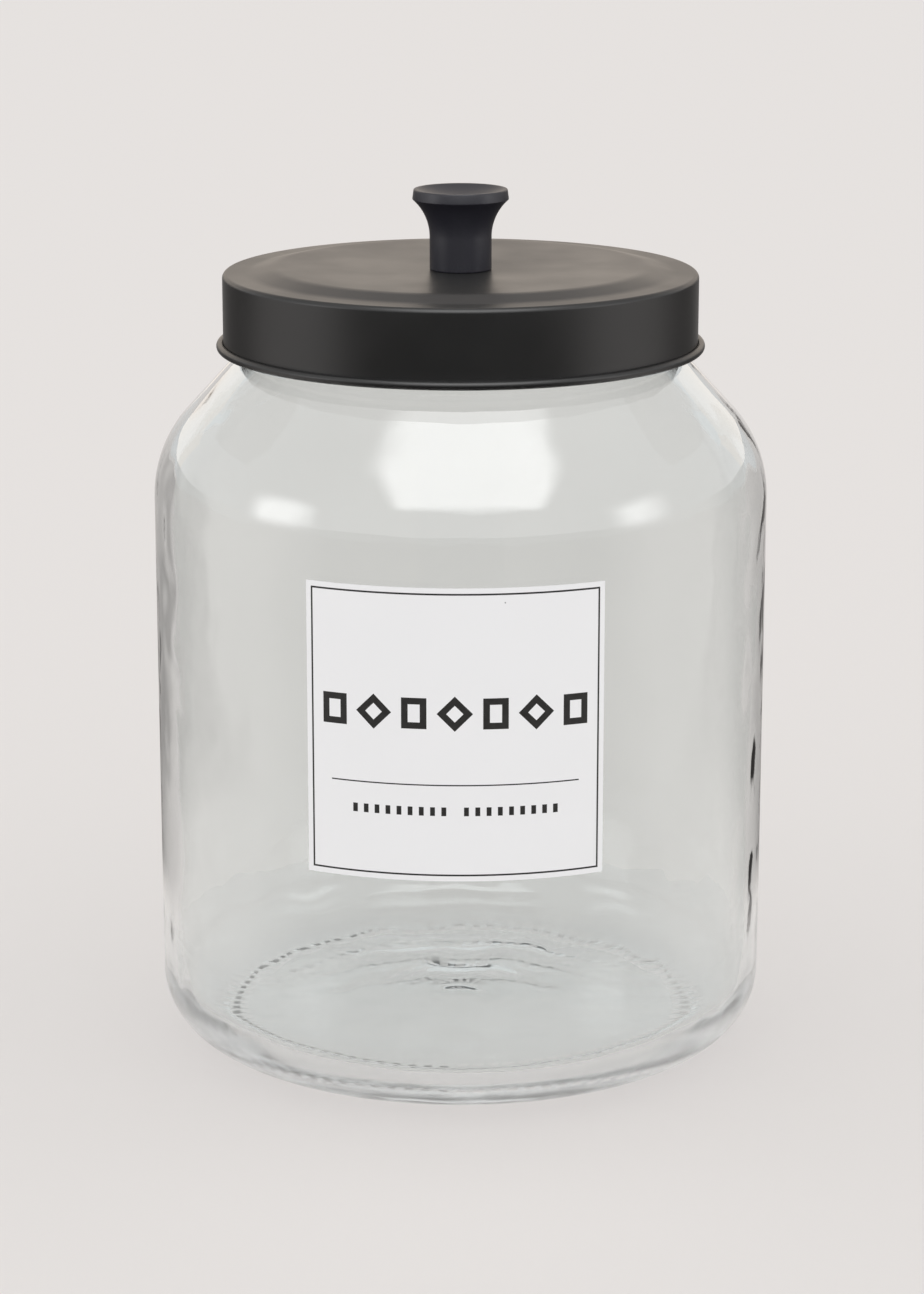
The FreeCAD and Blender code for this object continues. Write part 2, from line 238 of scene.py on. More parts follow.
def start_piece(name):
    """A plane of the piece's name, alone selected, in edit mode, brought down to one vertex."""
    clear_selection()
    bpy.ops.mesh.primitive_plane_add(size=MM, location=(0, 0, 0))
    piece = bpy.context.object
    piece.name = name
    piece.data.name = name
    bpy.ops.object.mode_set(mode="EDIT")
    bpy.ops.mesh.select_mode(type="VERT")
    bpy.ops.mesh.select_all(action="SELECT")
    bpy.ops.mesh.merge(type="CENTER")
    return piece


def turn_piece(name, outline, steps, closed=True):
    """A piece turned round the upright axis from an outline of (radius, height) points.

    An outline that isn't closed starts and ends on the axis.
    """
    piece = start_piece(name)
    points = [Vector((radius * MM, 0.0, height * MM)) for radius, height in outline]
    bpy.ops.transform.translate(value=points[0])
    for here, after in zip(points, points[1:] + points[:1] * closed):
        bpy.ops.mesh.extrude_vertices_move(TRANSFORM_OT_translate={"value": after - here})
    bpy.ops.mesh.select_all(action="SELECT")
    bpy.ops.mesh.remove_doubles(threshold=1e-6)
    bpy.ops.mesh.spin(
        steps=steps, angle=math.tau, center=(0, 0, 0), axis=(0, 0, 1), use_auto_merge=True
    )
    bpy.ops.mesh.select_all(action="SELECT")
    bpy.ops.mesh.remove_doubles(threshold=2e-6)
    face_outwards()
    return piece


def select_vertices(piece, wanted):
    """Selects, in edit mode, the vertices for which wanted(radius, angle, height) is true, in mm."""
    bpy.ops.object.mode_set(mode="EDIT")
    bpy.ops.mesh.select_mode(type="VERT")
    bpy.ops.mesh.select_all(action="DESELECT")
    bpy.ops.object.mode_set(mode="OBJECT")
    count = 0
    for vertex in piece.data.vertices:
        x, y, z = vertex.co / MM
        if wanted(math.hypot(x, y), math.atan2(y, x), z):
            vertex.select = True
            count += 1
    if not count:
        raise RuntimeError(f"nothing was selected on {piece.name}")
    bpy.ops.object.mode_set(mode="EDIT")


def group_vertices(piece, name, wanted, weight=1.0):
    """Puts the wanted vertices in a group."""
    select_vertices(piece, wanted)
    if name not in piece.vertex_groups:
        bpy.ops.object.vertex_group_add()
        piece.vertex_groups.active.name = name
    bpy.context.scene.tool_settings.vertex_group_weight = weight
    bpy.ops.object.vertex_group_assign()
    bpy.ops.object.mode_set(mode="OBJECT")


def apply_modifier(piece, kind, name, **settings):
    """Adds a modifier to the active piece, sets it and applies it."""
    modifier = piece.modifiers.new(name, kind)
    for key, setting in settings.items():
        setattr(modifier, key, setting)
    bpy.ops.object.modifier_apply(modifier=modifier.name)


def soft_waves(piece, group, depth, grain, direction, upright=1.0):
    """Moves a group of vertices by slow clouds, drawn out upright, up to half the depth each way."""
    clouds = bpy.data.textures.new(piece.name + "_waves", "CLOUDS")
    clouds.noise_scale = 1.0
    clouds.noise_depth = 1
    clear_selection()
    bpy.ops.object.empty_add(location=(0.03, 0.01, 0))
    guide = bpy.context.object
    guide.scale = (grain * MM, grain * MM, grain * upright * MM)
    bpy.context.view_layer.update()
    select_only(piece)
    apply_modifier(
        piece,
        "DISPLACE",
        "Waves",
        texture=clouds,
        texture_coords="OBJECT",
        texture_coords_object=guide,
        vertex_group=group,
        strength=depth * MM,
        mid_level=0.5,
        direction=direction,
    )
    bpy.data.objects.remove(guide)


def finish_piece(piece, material, smooth_angle, body, slot, *replaced):
    """Shades a piece, gives it its finish and its body, and hides the plain nodes it stands for."""
    select_only(piece)
    bpy.ops.object.shade_smooth_by_angle(angle=math.radians(smooth_angle))
    piece.data.materials.clear()
    piece.data.materials.append(material)
    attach(piece, body)
    if replaced:
        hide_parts(*replaced)
    clear_selection()
    return piece


# ------------------------------------------------------------------ shader effects
def add_node(tree, kind, **settings):
    """Adds a node and sets its own settings, not its inputs."""
    node = tree.nodes.new(kind)
    for key, setting in settings.items():
        setattr(node, key, setting)
    return node


def link(tree, source, output, target, socket):
    """Runs a link from a node's output to another node's input."""
    tree.links.new(source.outputs[output], target.inputs[socket])


def set_inputs(node, **settings):
    """Sets a node's inputs, with underscores in place of the spaces in their names."""
    for key, setting in settings.items():
        node.inputs[key.replace("_", " ")].default_value = setting


def new_group(name, inputs, outputs):
    """An empty shader group with (name, socket type, default) inputs and (name, socket type) outputs."""
    tree = bpy.data.node_groups.new(name, "ShaderNodeTree")
    for label, kind, default in inputs:
        socket = tree.interface.new_socket(label, in_out="INPUT", socket_type=kind)
        if default is not None:
            socket.default_value = default
    for label, kind in outputs:
        tree.interface.new_socket(label, in_out="OUTPUT", socket_type=kind)
    return tree, add_node(tree, "NodeGroupInput"), add_node(tree, "NodeGroupOutput")


def uneven_effect():
    """Slow or fine unevenness, as a value between two limits and as a height."""
    name = "uneven surface"
    if name in bpy.data.node_groups:
        return bpy.data.node_groups[name]
    tree, start, end = new_group(
        name,
        [
            ("Position", "NodeSocketVector", None),
            ("Scale", "NodeSocketFloat", 40.0),
            ("Detail", "NodeSocketFloat", 2.0),
            ("Least", "NodeSocketFloat", 0.3),
            ("Most", "NodeSocketFloat", 0.5),
        ],
        [("Value", "NodeSocketFloat"), ("Height", "NodeSocketFloat")],
    )
    noise = add_node(tree, "ShaderNodeTexNoise")
    limits = add_node(tree, "ShaderNodeMapRange")
    set_inputs(limits, From_Min=0.3, From_Max=0.7)
    link(tree, start, "Position", noise, "Vector")
    link(tree, start, "Scale", noise, "Scale")
    link(tree, start, "Detail", noise, "Detail")
    link(tree, noise, "Fac", limits, "Value")
    link(tree, start, "Least", limits, "To Min")
    link(tree, start, "Most", limits, "To Max")
    link(tree, limits, "Result", end, "Value")
    link(tree, noise, "Fac", end, "Height")
    return tree


def specks_effect():
    """A mask of tiny scattered specks of dust."""
    name = "dust specks"
    if name in bpy.data.node_groups:
        return bpy.data.node_groups[name]
    tree, start, end = new_group(
        name,
        [
            ("Position", "NodeSocketVector", None),
            ("Scale", "NodeSocketFloat", 150.0),
            ("Size", "NodeSocketFloat", 0.05),
            ("Share", "NodeSocketFloat", 0.2),
        ],
        [("Mask", "NodeSocketFloat")],
    )
    cells = add_node(tree, "ShaderNodeTexVoronoi")
    near = add_node(tree, "ShaderNodeMath", operation="LESS_THAN")
    chosen = add_node(tree, "ShaderNodeMath", operation="LESS_THAN")
    tint = add_node(tree, "ShaderNodeSeparateColor")
    both = add_node(tree, "ShaderNodeMath", operation="MULTIPLY")
    link(tree, start, "Position", cells, "Vector")
    link(tree, start, "Scale", cells, "Scale")
    link(tree, cells, "Distance", near, 0)
    link(tree, start, "Size", near, 1)
    link(tree, cells, "Color", tint, "Color")
    link(tree, tint, "Red", chosen, 0)
    link(tree, start, "Share", chosen, 1)
    link(tree, near, "Value", both, 0)
    link(tree, chosen, "Value", both, 1)
    link(tree, both, "Value", end, "Mask")
    return tree


def heel_effect():
    """A mask of the thick ring of glass outside the standing ring, by distance from the axis and height. The
    glass uses it to roughen the heel and to paint a contact shadow under the heel.
    """
    name = "heel ring"
    if name in bpy.data.node_groups:
        return bpy.data.node_groups[name]
    tree, start, end = new_group(
        name,
        [
            ("Position", "NodeSocketVector", None),
            ("Inner", "NodeSocketFloat", 0.066),
            ("Outer", "NodeSocketFloat", 0.078),
            ("Low", "NodeSocketFloat", 0.008),
            ("High", "NodeSocketFloat", 0.022),
        ],
        [("Mask", "NodeSocketFloat")],
    )
    level = add_node(tree, "ShaderNodeVectorMath", operation="MULTIPLY")
    level.inputs[1].default_value = (1.0, 1.0, 0.0)
    away = add_node(tree, "ShaderNodeVectorMath", operation="LENGTH")
    split = add_node(tree, "ShaderNodeSeparateXYZ")
    outwards = add_node(tree, "ShaderNodeMapRange", interpolation_type="SMOOTHSTEP")
    upwards = add_node(tree, "ShaderNodeMapRange", interpolation_type="SMOOTHSTEP")
    set_inputs(upwards, To_Min=1.0, To_Max=0.0)
    both = add_node(tree, "ShaderNodeMath", operation="MULTIPLY")
    link(tree, start, "Position", level, 0)
    link(tree, level, "Vector", away, 0)
    link(tree, away, "Value", outwards, "Value")
    link(tree, start, "Inner", outwards, "From Min")
    link(tree, start, "Outer", outwards, "From Max")
    link(tree, start, "Position", split, "Vector")
    link(tree, split, "Z", upwards, "Value")
    link(tree, start, "Low", upwards, "From Min")
    link(tree, start, "High", upwards, "From Max")
    link(tree, outwards, "Result", both, 0)
    link(tree, upwards, "Result", both, 1)
    link(tree, both, "Value", end, "Mask")
    return tree


def new_finish(name, colour_value, **settings):
    """A material with a Principled shader, and a Texture Coordinate node for its patterns."""
    material = bpy.data.materials.get(name)
    if material:
        return material, None, None, None
    material = bpy.data.materials.new(name)
    material.use_nodes = True
    material.diffuse_color = (*colour_value, 1.0)
    tree = material.node_tree
    shader = tree.nodes["Principled BSDF"]
    shader.inputs["Base Color"].default_value = (*colour_value, 1.0)
    set_inputs(shader, **settings)
    place = add_node(tree, "ShaderNodeTexCoord")
    return material, tree, shader, place


def use_effect(tree, place, effect, **settings):
    node = add_node(tree, "ShaderNodeGroup", node_tree=effect)
    set_inputs(node, **settings)
    link(tree, place, "Object", node, "Position")
    return node


def add_bump(tree, shader, height, distance, strength=1.0):
    bump = add_node(tree, "ShaderNodeBump")
    set_inputs(bump, Strength=strength, Distance=distance)
    tree.links.new(height, bump.inputs["Height"])
    link(tree, bump, "Normal", shader, "Normal")
    return bump


def tint_by(tree, shader, factor, first, second):
    """Base colour that goes from the first to the second colour with a factor."""
    mix = add_node(tree, "ShaderNodeMix", data_type="RGBA")
    mix.inputs["A"].default_value = (*first, 1.0)
    mix.inputs["B"].default_value = (*second, 1.0)
    tree.links.new(factor, mix.inputs["Factor"])
    link(tree, mix, "Result", shader, "Base Color")
    return mix


def lighter(colour_value, by):
    """A colour made lighter, or darker where by is under 1."""
    return tuple(min(1.0, part * by) for part in colour_value)


def glass_finish():
    """Clear soda glass with a faint green cast, slightly uneven, that lets light through to the floor, and
    less of it through its heel as a painted contact shadow under the heel.
    """
    tone = tuple(bpy.context.scene.jar_finishes.glass)
    material, tree, shader, place = new_finish(
        "clear glass", tone, Roughness=0.0, IOR=1.52, Transmission_Weight=1.0
    )
    if tree is None:
        return material
    drift = use_effect(tree, place, uneven_effect(), Scale=22.0, Detail=1.0, Least=0.0, Most=1.0)
    tint_by(tree, shader, drift.outputs["Value"], lighter(tone, 0.985), lighter(tone, 1.01))
    chill = use_effect(tree, place, uneven_effect(), Scale=70.0, Detail=0.5, Least=0.0, Most=0.012)
    add_bump(tree, shader, chill.outputs["Height"], 0.00025)
    passing = add_node(tree, "ShaderNodeBsdfTransparent")
    heel = use_effect(tree, place, heel_effect())
    frost = add_node(tree, "ShaderNodeMath", operation="MULTIPLY_ADD")
    frost.inputs[1].default_value = 0.13
    link(tree, heel, "Mask", frost, 0)
    link(tree, chill, "Value", frost, 2)
    link(tree, frost, "Value", shader, "Roughness")
    # Painted shadow: light let through the heel ring is made darker, which paints a contact shadow on the
    # floor under the heel.
    painted_heel_shadow = add_node(tree, "ShaderNodeMix", data_type="RGBA")
    painted_heel_shadow.inputs["A"].default_value = (0.99, 0.99, 0.99, 1.0)
    painted_heel_shadow.inputs["B"].default_value = (0.94, 0.94, 0.945, 1.0)
    link(tree, heel, "Mask", painted_heel_shadow, "Factor")
    link(tree, painted_heel_shadow, "Result", passing, "Color")
    path = add_node(tree, "ShaderNodeLightPath")
    soft_light = add_node(tree, "ShaderNodeMath", operation="MAXIMUM")
    mix = add_node(tree, "ShaderNodeMixShader")
    output = tree.nodes["Material Output"]
    link(tree, path, "Is Shadow Ray", soft_light, 0)
    link(tree, path, "Is Diffuse Ray", soft_light, 1)
    link(tree, soft_light, "Value", mix, 0)
    link(tree, shader, "BSDF", mix, 1)
    link(tree, passing, "BSDF", mix, 2)
    link(tree, mix, "Shader", output, "Surface")
    return material


def paint_finish(name, tone, roughness, dust_share):
    """Satin paint: a very fine grain, slow changes of gloss, and a few specks of dust."""
    material, tree, shader, place = new_finish(name, tone, IOR=1.5)
    if tree is None:
        return material
    grain = use_effect(tree, place, uneven_effect(), Scale=2200.0, Detail=2.0)
    add_bump(tree, shader, grain.outputs["Height"], 0.000012)
    gloss = use_effect(
        tree, place, uneven_effect(), Scale=38.0, Detail=3.0, Least=roughness - 0.03, Most=roughness + 0.04
    )
    link(tree, gloss, "Value", shader, "Roughness")
    dust = use_effect(tree, place, specks_effect(), Scale=260.0, Size=0.045, Share=dust_share)
    tint_by(tree, shader, dust.outputs["Mask"], tone, lighter(tone, 7.0))
    return material


def vinyl_finish():
    """White vinyl with a soft sheen, very slightly uneven, and a few stray specks of ink."""
    tone = tuple(bpy.context.scene.jar_finishes.vinyl)
    material, tree, shader, place = new_finish("white vinyl", tone, IOR=1.46)
    if tree is None:
        return material
    sheen = use_effect(tree, place, uneven_effect(), Scale=60.0, Detail=3.0, Least=0.36, Most=0.46)
    link(tree, sheen, "Value", shader, "Roughness")
    add_bump(tree, shader, sheen.outputs["Height"], 0.00008, 0.5)
    specks = use_effect(tree, place, specks_effect(), Scale=90.0, Size=0.02, Share=0.12)
    tint_by(tree, shader, specks.outputs["Mask"], tone, lighter(tone, 0.35))
    return material


def ink_finish():
    """Dense warm black ink that shows the vinyl's texture."""
    tone = tuple(bpy.context.scene.jar_finishes.ink)
    material, tree, shader, place = new_finish("printed ink", tone, IOR=1.45)
    if tree is None:
        return material
    layer = use_effect(tree, place, uneven_effect(), Scale=900.0, Detail=3.0, Least=0.38, Most=0.52)
    link(tree, layer, "Value", shader, "Roughness")
    tint_by(tree, shader, layer.outputs["Height"], tone, lighter(tone, 1.5))
    return material


def silicone_finish():
    """Milky soft silicone with a bloom of dust."""
    tone = tuple(bpy.context.scene.jar_finishes.seal)
    material, tree, shader, place = new_finish("milky silicone", tone, IOR=1.41, Subsurface_Weight=0.25)
    if tree is None:
        return material
    shader.inputs["Subsurface Radius"].default_value = (0.004, 0.004, 0.0035)
    bloom = use_effect(tree, place, uneven_effect(), Scale=300.0, Detail=4.0, Least=0.42, Most=0.6)
    link(tree, bloom, "Value", shader, "Roughness")
    tint_by(tree, shader, bloom.outputs["Height"], tone, lighter(tone, 1.12))
    add_bump(tree, shader, bloom.outputs["Height"], 0.00003)
    return material


def zinc_finish():
    """Zinc plated steel with turned marks round the screw's axis."""
    tone = tuple(bpy.context.scene.jar_finishes.zinc)
    material, tree, shader, place = new_finish("zinc plate", tone, Metallic=1.0)
    if tree is None:
        return material
    rings = add_node(tree, "ShaderNodeTexWave", wave_type="RINGS", rings_direction="Z")
    set_inputs(rings, Scale=900.0, Distortion=1.5, Detail=2.0)
    link(tree, place, "Object", rings, "Vector")
    add_bump(tree, shader, rings.outputs["Fac"], 0.000012, 0.6)
    plate = use_effect(tree, place, uneven_effect(), Scale=450.0, Detail=3.0, Least=0.24, Most=0.4)
    link(tree, plate, "Value", shader, "Roughness")
    tint_by(tree, shader, plate.outputs["Height"], lighter(tone, 0.85), lighter(tone, 1.15))
    return material


def floor_finish():
    """Smooth pale seamless paper."""
    tone = tuple(bpy.context.scene.jar_finishes.floor)
    material, tree, shader, place = new_finish("pale paper", tone, Roughness=1.0, Specular_IOR_Level=0.0)
    if tree is None:
        return material
    tooth = use_effect(tree, place, uneven_effect(), Scale=700.0, Detail=2.0)
    tint_by(tree, shader, tooth.outputs["Height"], lighter(tone, 0.994), lighter(tone, 1.006))
    return material


# Tones of the cards by the angle away from straight behind the jar, as a share of half a turn.
GLOSS_CARD = (
    (0.05, 1.0),
    (0.14, 0.35),
    (0.22, 0.12),
    (0.34, 0.15),
    (0.44, 1.2),
    (0.60, 1.4),
    (0.74, 0.1),
    (1.0, 0.0),
)
GLASS_CARD = ((0.10, 1.0), (0.13, 0.82), (0.16, 0.76), (0.19, 0.58), (0.215, 0.62), (0.25, 1.0))
TOP_CARD = ((0.0, 0.80), (1.0, 0.84))
BACK_CARD = ((0.0, 1.0), (0.5, 1.0))
PAPER = (0.783, 0.745, 0.723)
WARM_WALL = (1.15, 1.02, 0.89)


def card_finish(name, tones, light=PAPER, near=0.0, far=0.01, right=1.0):
    """Card that gives its own light, in tones that change softly round the jar.

    The tones come in between the near and the far distance from the jar's axis. On the right of the
    jar they are mixed with the plain light, and right is their share.
    """
    material, tree, shader, place = new_finish("card " + name, (0.0, 0.0, 0.0), Roughness=1.0)
    if tree is None:
        return material
    set_inputs(shader, Emission_Strength=1.0, Specular_IOR_Level=0.0)
    split = add_node(tree, "ShaderNodeSeparateXYZ")
    angle = add_node(tree, "ShaderNodeMath", operation="ARCTAN2")
    turn = add_node(tree, "ShaderNodeMath", operation="ABSOLUTE")
    share = add_node(tree, "ShaderNodeMath", operation="DIVIDE")
    share.inputs[1].default_value = math.pi
    ramp = add_node(tree, "ShaderNodeValToRGB")
    stops = ramp.color_ramp.elements
    for _ in range(len(tones) - len(stops)):
        stops.new(0.5)
    for stop, (where, tone) in zip(stops, tones):
        stop.position = where
        stop.color = (*(part * tone for part in light), 1.0)
    link(tree, place, "Object", split, "Vector")
    link(tree, split, "X", angle, 0)
    link(tree, split, "Y", angle, 1)
    link(tree, angle, "Value", turn, 0)
    link(tree, turn, "Value", share, 0)
    link(tree, share, "Value", ramp, "Fac")
    away = add_node(tree, "ShaderNodeVectorMath", operation="LENGTH")
    fade = add_node(tree, "ShaderNodeMapRange", interpolation_type="SMOOTHSTEP")
    set_inputs(fade, From_Min=near, From_Max=far)
    side = add_node(tree, "ShaderNodeMapRange", interpolation_type="SMOOTHSTEP")
    set_inputs(side, From_Min=-0.1, From_Max=0.1, To_Min=1.0, To_Max=right)
    both = add_node(tree, "ShaderNodeMath", operation="MULTIPLY")
    mix = add_node(tree, "ShaderNodeMix", data_type="RGBA")
    mix.inputs["A"].default_value = (*light, 1.0)
    link(tree, place, "Object", away, 0)
    link(tree, away, "Value", fade, "Value")
    link(tree, split, "X", side, "Value")
    link(tree, fade, "Result", both, 0)
    link(tree, side, "Result", both, 1)
    link(tree, both, "Value", mix, "Factor")
    link(tree, ramp, "Color", mix, "B")
    link(tree, mix, "Result", shader, "Emission Color")
    return material


# ------------------------------------------------------------------ pieces
# Roundings of the glass's half section, in millimetres.
RING_EDGE_ROUND = 0.8
HEEL_ROUND = 19.0
FLOOR_ROUND = 14.0
SHOULDER_ROUND = 36.0
NECK_ROUND = 4.0
RIM_ROUND = 2.2
# The ripples of the floor: how far out they go, their points, and from one to the next.
RIPPLED_RADIUS = 30
RIPPLE_POINTS = 24
RIPPLE_SPACING = 5.6
COLUMNS_PER_MARK = 4
# How much the inner wall waves between two heights, so that the waves die out at the floor and the neck.
WAVY_HEIGHTS = ((30, 38, 0.3), (38, 46, 0.7), (46, 176, 1.0), (176, 186, 0.6), (186, 194, 0.3))
# The label's marks, in millimetres, with heights above the label's foot.
MARK_PITCH = 11.3
MARK_FOOT = 43.7
RULE_STROKE = 0.37
RULE_HEIGHT = 27.7
BAR_WIDTH = 1.35
BAR_HEIGHT = 2.5
BAR_PITCH = 3.12
BAR_FOOT = 18.9
# The lid's hole, the knob's edges and the knob's hole for the screw, in millimetres. The screw starts below
# the lid's panel, and the hole goes on past its end.
LID_HOLE = 2.2
KNOB_EDGE_ROUND = 0.35
TAP_RADIUS = 2.05
SCREW_DROP = 1.3
SCREW_LENGTH = 12.0
TAP_SPARE = 2.0
# How much the lid's panel waves inside a radius, so that it is still at the knob and the step.
WAVY_RADII = ((50, 0.35), (47, 0.7), (42, 1.0), (20, 0.6), (14, 0.0))


class JAR_OT_glass(bpy.types.Operator):
    """Turns the glass jar from its half section and gives the glass its moulded marks and waves"""

    bl_idname = "storage_jar.glass"
    bl_label = "Glass jar"

    def execute(self, context):
        sizes = context.scene.jar_glass
        inside = sizes.body_radius - sizes.wall
        mouth = sizes.neck_radius - sizes.wall
        slope = math.tan(sizes.shoulder_slope)
        drop = sizes.wall / math.cos(sizes.shoulder_slope)
        neck_base = sizes.shoulder_height + (sizes.body_radius - sizes.neck_radius) * slope
        inner_corner = sizes.shoulder_height + sizes.wall * slope - drop
        inner_neck = sizes.shoulder_height + (sizes.body_radius - mouth) * slope - drop
        heel_corner = (sizes.body_radius - sizes.ring_outer) * math.tan(sizes.heel_slope)
        ring_middle = (sizes.ring_outer + sizes.ring_inner) / 2
        corners = [
            (0.0, sizes.push_up),
            (sizes.ring_inner, 0.0, RING_EDGE_ROUND),
            (ring_middle + 0.7, 0.0),
            (ring_middle + 1.2, 0.0),
            (sizes.ring_outer, 0.0, RING_EDGE_ROUND),
            (sizes.body_radius, heel_corner, HEEL_ROUND),
            (sizes.body_radius, sizes.shoulder_height, SHOULDER_ROUND),
            (sizes.neck_radius, neck_base, NECK_ROUND),
            (sizes.neck_radius, RIM_HEIGHT, RIM_ROUND),
            (mouth, RIM_HEIGHT, RIM_ROUND),
            (mouth, inner_neck, NECK_ROUND),
            (inside, inner_corner, SHOULDER_ROUND - sizes.wall),
            (inside, sizes.floor_edge, FLOOR_ROUND),
            (0.0, sizes.floor_centre),
        ]
        outline = rounded(corners, step=4.0, run=5.0)
        axis_points = [point for point in outline if point[0] < 0.01]
        outline = [point for point in outline if point[0] >= 0.01]
        fall = (sizes.floor_centre - sizes.floor_edge) / inside
        outline = [point for point in outline if point[0] > RIPPLED_RADIUS or point[1] < sizes.floor_edge]
        outline = [axis_points[0]] + outline
        for place in range(RIPPLE_POINTS):
            radius = RIPPLED_RADIUS - RIPPLED_RADIUS / RIPPLE_POINTS * place
            swell = math.sin(math.pi * radius / RIPPLED_RADIUS) ** 2
            swell *= math.sin(math.tau * radius / RIPPLE_SPACING)
            outline.append((radius, sizes.floor_centre - fall * radius + sizes.ripple_height / 2 * swell))
        outline.append((0.0, sizes.floor_centre))
        jar = turn_piece("jar_glass", outline, sizes.grip_marks * COLUMNS_PER_MARK, closed=False)
        self.grip_marks(jar, sizes, ring_middle)
        for low, high, weight in WAVY_HEIGHTS:
            group_vertices(jar, "inner wall", lambda r, a, z: r < inside + 0.6 and low < z <= high, weight)
        soft_waves(jar, "inner wall", sizes.inner_wave, 20.0, "NORMAL", upright=3.0)
        finish_piece(jar, glass_finish(), 40, "jar", "clear_glass", "glass_jar")
        return {"FINISHED"}

    def grip_marks(self, jar, sizes, ring_middle):
        pitch = 360 / sizes.grip_marks

        def on_mark(radius, angle, height):
            place = math.degrees(angle) / pitch
            near = abs(place - round(place)) < 0.05
            return near and ring_middle - 0.1 < radius < sizes.ring_outer + 0.8 and height < 0.3

        select_vertices(jar, on_mark)
        bpy.ops.transform.translate(value=(0, 0, sizes.grip_depth * MM))
        bpy.ops.object.mode_set(mode="OBJECT")


class JAR_OT_label(bpy.types.Operator):
    """Cuts the vinyl label, wraps it round the glass and prints plain marks on it"""

    bl_idname = "storage_jar.label"
    bl_label = "Label"

    def execute(self, context):
        sizes = context.scene.jar_label
        radius = context.scene.jar_glass.body_radius
        self.height = LABEL_TOP - LABEL_FOOT
        self.middle = (LABEL_TOP + LABEL_FOOT) / 2
        face = sizes.thickness - sizes.ink - 0.010
        sheet = self.upright("label_vinyl", 0.0, self.middle, sizes.width, self.height)
        self.thicken(sheet, 0.01, face)
        self.wrap(sheet, radius, sizes)
        finish_piece(sheet, vinyl_finish(), 30, "jar", "printed_vinyl", "label_sheet")
        printing = self.print_marks(sizes)
        self.thicken(printing, face, face + sizes.ink)
        self.wrap(printing, radius, sizes)
        finish_piece(printing, ink_finish(), 30, "jar", "printed_vinyl")
        return {"FINISHED"}

    def upright(self, name, across, height, wide, tall):
        """A flat upright rectangle that faces the front, its middle at (across, height)."""
        clear_selection()
        bpy.ops.mesh.primitive_plane_add(size=MM, rotation=(math.pi / 2, 0, 0))
        piece = bpy.context.object
        piece.name = name
        piece.data.name = name
        bpy.ops.object.transform_apply(location=True, rotation=True, scale=True)
        edit_all()
        bpy.ops.transform.resize(value=(wide, 1, tall))
        bpy.ops.transform.translate(value=(across * MM, 0, height * MM))
        bpy.ops.object.mode_set(mode="OBJECT")
        return piece

    def frame(self, name, across, height, wide, tall, stroke, turned=False):
        """An outline mark of one stroke's width: a rectangle, or the same stood on its corner."""
        piece = self.upright(name, across, height, wide, tall)
        edit_all()
        bpy.ops.mesh.inset(thickness=stroke * MM, depth=0)
        bpy.ops.mesh.delete(type="FACE")
        if turned:
            bpy.ops.mesh.select_all(action="SELECT")
            bpy.ops.transform.rotate(
                value=math.pi / 4, orient_axis="Y", center_override=(across * MM, 0, height * MM)
            )
        bpy.ops.object.mode_set(mode="OBJECT")
        return piece

    def copy_along(self, piece, distances):
        """Copies of a mark further along the row, each with its own mesh."""
        copies = [piece]
        for distance in distances:
            select_only(piece)
            bpy.ops.object.duplicate(linked=False)
            copy = bpy.context.object
            bpy.ops.transform.translate(value=(distance * MM, 0, 0))
            bpy.ops.object.transform_apply(location=True, rotation=True, scale=True)
            copies.append(copy)
        return copies

    def print_marks(self, sizes):
        """A border line, a row of bold outline marks, a thin rule and a row of small bars."""
        border = self.frame(
            "label_print",
            0.0,
            self.middle,
            sizes.width - 2 * sizes.margin,
            self.height - 2 * sizes.margin,
            sizes.border,
        )
        tall = sizes.mark_height
        pitch = MARK_PITCH
        row = LABEL_FOOT + MARK_FOOT + tall / 2
        side = (tall + 1.2) / math.sqrt(2)
        square = self.frame("square_mark", -3 * pitch, row, tall * 0.8, tall, sizes.mark_stroke)
        diamond = self.frame("diamond_mark", -2 * pitch, row, side, side, sizes.mark_stroke, turned=True)
        marks = self.copy_along(square, (2 * pitch, 4 * pitch, 6 * pitch))
        marks += self.copy_along(diamond, (2 * pitch, 4 * pitch))
        rule_height = LABEL_FOOT + RULE_HEIGHT
        marks.append(self.upright("rule", 0.0, rule_height, sizes.rule_width, RULE_STROKE))
        bar_middle = LABEL_FOOT + BAR_FOOT + BAR_HEIGHT / 2
        bar = self.upright("bar_mark", -28.0, bar_middle, BAR_WIDTH, BAR_HEIGHT)
        marks += self.copy_along(bar, [BAR_PITCH * place for place in range(1, 19) if place != 9])
        clear_selection()
        for piece in [*marks, border]:
            piece.select_set(True)
        bpy.context.view_layer.objects.active = border
        bpy.ops.object.join()
        return border

    def thicken(self, piece, inner, outer):
        """Divides a flat piece into narrow upright strips and gives it its thickness."""
        select_only(piece)
        bpy.ops.object.mode_set(mode="EDIT")
        half = bpy.context.scene.jar_label.width / 2
        strips = 60
        for place in range(1, strips):
            across = (-half + 2 * half * place / strips) * MM
            bpy.ops.mesh.select_all(action="SELECT")
            bpy.ops.mesh.bisect(plane_co=(across, 0, 0), plane_no=(1, 0, 0))
        bpy.ops.mesh.select_all(action="SELECT")
        bpy.ops.transform.translate(value=(0, -inner * MM, 0))
        bpy.ops.mesh.extrude_region_move(TRANSFORM_OT_translate={"value": (0, (inner - outer) * MM, 0)})
        face_outwards()

    def wrap(self, piece, radius, sizes):
        """Bends a flat piece round the glass and turns it to its place."""
        widths = [vertex.co.x for vertex in piece.data.vertices]
        extent = max(widths) - min(widths)
        apply_modifier(
            piece,
            "SIMPLE_DEFORM",
            "Wrap",
            deform_method="BEND",
            deform_axis="Z",
            angle=extent / (radius * MM),
        )
        edit_all()
        bpy.ops.transform.translate(value=(0, -radius * MM, 0))
        bpy.ops.transform.rotate(value=-sizes.turn, orient_axis="Z", center_override=(0, 0, 0))
        bpy.ops.object.mode_set(mode="OBJECT")


